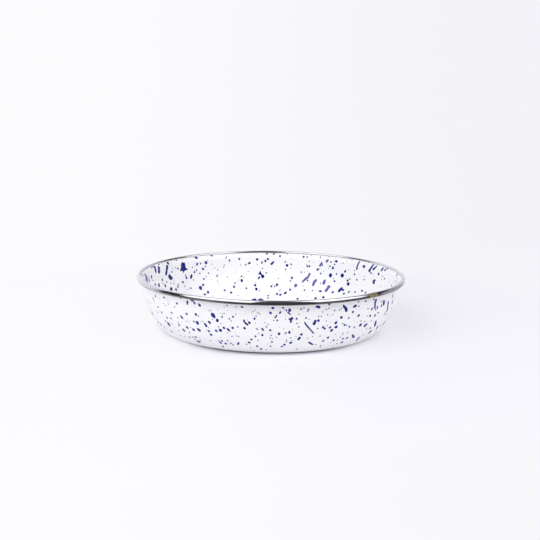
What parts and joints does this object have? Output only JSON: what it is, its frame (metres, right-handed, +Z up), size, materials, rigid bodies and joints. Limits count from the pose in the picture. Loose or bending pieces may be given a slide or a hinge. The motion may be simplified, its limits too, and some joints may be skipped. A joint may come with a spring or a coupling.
{
  "type": "enamel bowl",
  "caption": "Shallow round enamelled steel bowl with flared lip held in a rolled steel band, white with scattered blue spatter.",
  "frame": {"origin": "on the table under the bowl's centre", "axes": "+Z up through the bowl's mouth, -Y towards the viewer of the picture"},
  "size_m": [0.216, 0.216, 0.044],
  "materials": {
    "core_steel": "cold rolled, hidden under the coats",
    "ground_enamel": "fired, hidden under the white",
    "white_enamel": "gloss vitreous enamel",
    "blue_enamel": "gloss vitreous enamel, fused in drops",
    "band_steel": "polished stainless strip",
    "joint_metal": "brazed and polished"
  },
  "bodies": {
    "root": {"steel_core": "core_steel", "ground_coat_inside": "ground_enamel", "ground_coat_outside": "ground_enamel", "cover_coat_inside": "white_enamel", "cover_coat_outside": "white_enamel", "spatter_inside": "blue_enamel", "spatter_outside": "blue_enamel", "rim_band": "band_steel", "rim_band_joint": "joint_metal"}
  },
  "joints": []
}
